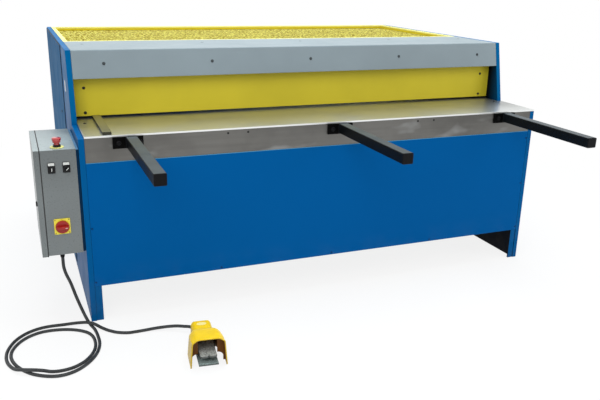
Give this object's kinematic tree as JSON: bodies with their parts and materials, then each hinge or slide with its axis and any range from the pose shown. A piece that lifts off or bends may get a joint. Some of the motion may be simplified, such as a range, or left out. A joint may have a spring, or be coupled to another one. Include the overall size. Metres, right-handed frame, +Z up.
{
  "type": "electric shearing machine",
  "caption": "Floor-standing guillotine shear with steel table, black support arms, yellow guards, side control cabinet and hooded foot switch on a cable.",
  "frame": {"origin": "on the floor under the centre of the plan of the machine with its arms, cabinet and foot switch, the loose cable left out", "axes": "+X to the operator's right along the table, +Y from the operator to the rear, +Z up"},
  "size_m": [2.7301, 2.32, 1.173],
  "materials": {
    "blue_paint": "smooth semi-gloss blue enamel",
    "bare_steel": "ground bare steel with a light oil film",
    "yellow_paint": "smooth semi-gloss yellow enamel",
    "grey_paint": "smooth satin light grey enamel",
    "black_paint": "satin black enamel",
    "cabinet_paint": "fine textured light grey powder coat",
    "black_plastic": "moulded black plastic",
    "red_plastic": "moulded glossy red plastic",
    "yellow_plastic": "moulded yellow plastic",
    "cast_aluminium": "sand-cast aluminium, as cast",
    "cable_rubber": "dark grey flexible cable sheath"
  },
  "bodies": {
    "machine": {"left_side_frame": "blue_paint", "right_side_frame": "blue_paint", "left_side_cover": "blue_paint", "right_side_cover": "blue_paint", "front_panel": "blue_paint", "rear_panel": "blue_paint", "bed_beam": "blue_paint", "hold_down_beam": "blue_paint", "blade_beam": "blue_paint", "table_top": "bare_steel", "table_face": "bare_steel", "side_stop": "bare_steel", "lower_blade": "bare_steel", "upper_blade": "bare_steel", "finger_plate": "yellow_paint", "top_guard_rim": "yellow_paint", "top_guard_mesh": "yellow_paint", "top_cover": "grey_paint", "left_arm_bracket": "black_paint", "middle_arm_bracket": "black_paint", "right_arm_bracket": "black_paint", "left_support_arm": "black_paint", "middle_support_arm": "black_paint", "right_support_arm": "black_paint", "control_cabinet": "cabinet_paint", "cabinet_gland": "black_plastic", "left_selector_plate": "black_plastic", "right_selector_plate": "black_plastic", "foot_switch_gland": "black_plastic", "left_arm_cap": "black_plastic", "middle_arm_cap": "black_plastic", "right_arm_cap": "black_plastic", "stop_button_collar": "yellow_plastic", "main_switch_plate": "yellow_plastic", "foot_switch_hood": "yellow_plastic", "foot_switch_base": "cast_aluminium", "foot_switch_cable": "cable_rubber"},
    "cabinet_door": {"cabinet_door": "cabinet_paint", "door_lock": "black_plastic"},
    "main_switch_handle": {"main_switch_handle": "red_plastic"},
    "left_selector_knob": {"left_selector_knob": "black_plastic"},
    "right_selector_knob": {"right_selector_knob": "black_plastic"},
    "stop_button": {"stop_button": "red_plastic"},
    "foot_switch_treadle": {"foot_switch_treadle": "cast_aluminium"}
  },
  "joints": [
    {"name": "cabinet_door_hinge", "type": "hinge", "parent": "machine", "child": "cabinet_door", "pos_m": [-1.2425, -0.1255, 0.5725], "axis": [0, 0, -1], "range_deg": [0, 110]},
    {"name": "main_switch_turn", "type": "hinge", "parent": "machine", "child": "main_switch_handle", "pos_m": [-1.1785, -0.5477, 0.471], "axis": [0, 1, 0], "range_deg": [0, 90]},
    {"name": "left_selector_turn", "type": "hinge", "parent": "machine", "child": "left_selector_knob", "pos_m": [-1.202, -0.5507, 0.726], "axis": [0, 1, 0], "range_deg": [-45, 45]},
    {"name": "right_selector_turn", "type": "hinge", "parent": "machine", "child": "right_selector_knob", "pos_m": [-1.1425, -0.5507, 0.726], "axis": [0, 1, 0], "range_deg": [-90, 0]},
    {"name": "stop_button_push", "type": "slide", "parent": "machine", "child": "stop_button", "axis": [0, 0, -1], "range_m": [0, 0.005], "stiffness_N_per_m": 2000},
    {"name": "treadle_press", "type": "hinge", "parent": "machine", "child": "foot_switch_treadle", "pos_m": [-0.67492, -0.97177, 0.04], "axis": [0.9936, -0.1132, 0], "range_deg": [0, 10], "stiffness_Nm_per_rad": 20, "springref_deg": -2.86}
  ]
}
